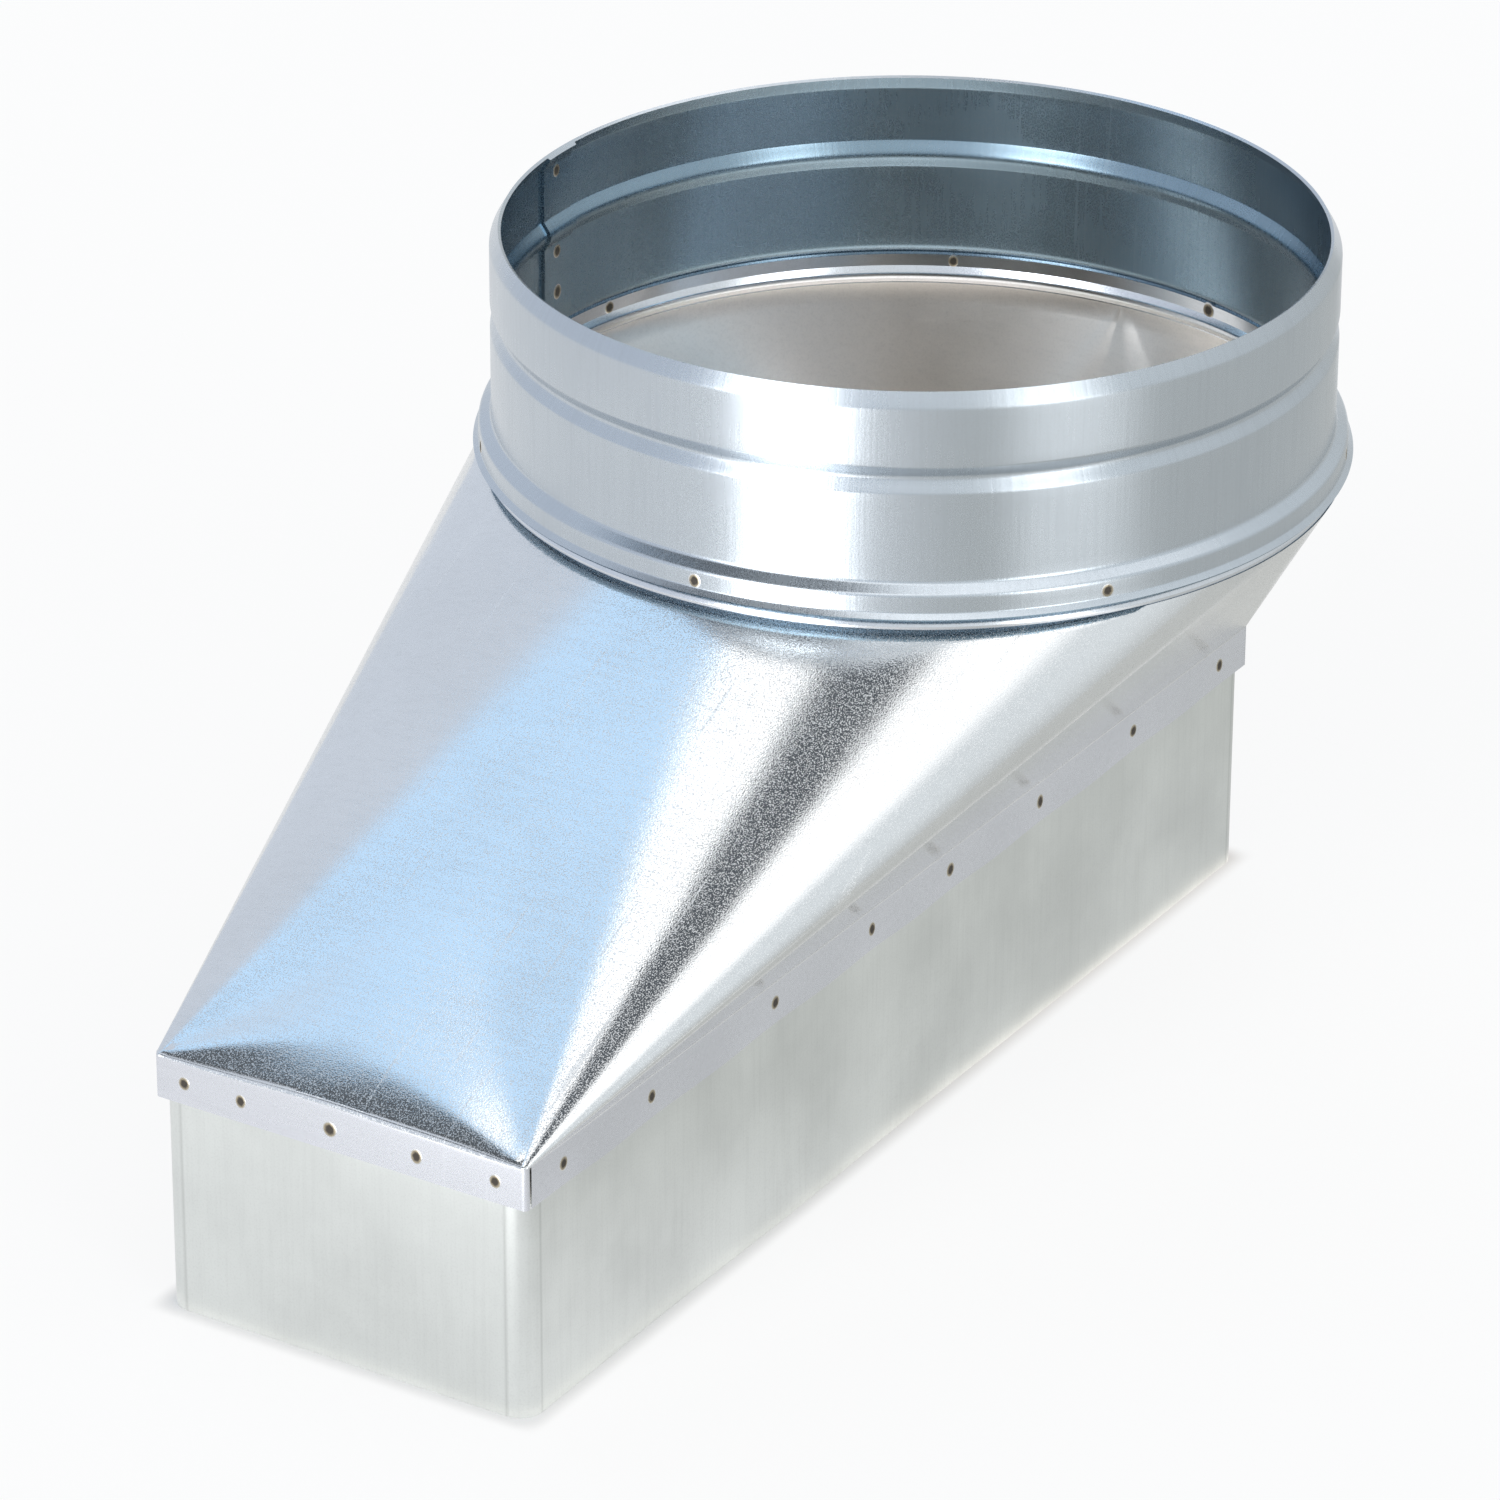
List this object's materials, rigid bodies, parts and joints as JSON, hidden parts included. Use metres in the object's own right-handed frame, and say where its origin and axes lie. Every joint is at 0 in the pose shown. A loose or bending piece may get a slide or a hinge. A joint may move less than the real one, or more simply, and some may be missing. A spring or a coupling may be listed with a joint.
{
  "type": "flat duct adapter",
  "caption": "Sheet-steel adapter that leads a flat rectangular duct into a round duct through an offset tapered hopper and a beaded spigot.",
  "frame": {"origin": "centre of the flat duct end, in the plane of the sleeve's open edge", "axes": "+Z along the spigot, from the flat duct end to the round end; +X along the flat duct's long side, towards the end that the spigot hangs over"},
  "size_m": [0.2152, 0.1294, 0.116],
  "materials": {
    "galvanised_sheet": "zinc-coated sheet with fine spangle and rolling grain",
    "spot_weld": "dull heat-tinted dimple"
  },
  "bodies": {
    "root": {"sleeve": "galvanised_sheet", "transition": "galvanised_sheet", "spigot": "galvanised_sheet", "flange_welds": "spot_weld", "collar_welds": "spot_weld", "seam_welds": "spot_weld"}
  },
  "joints": []
}
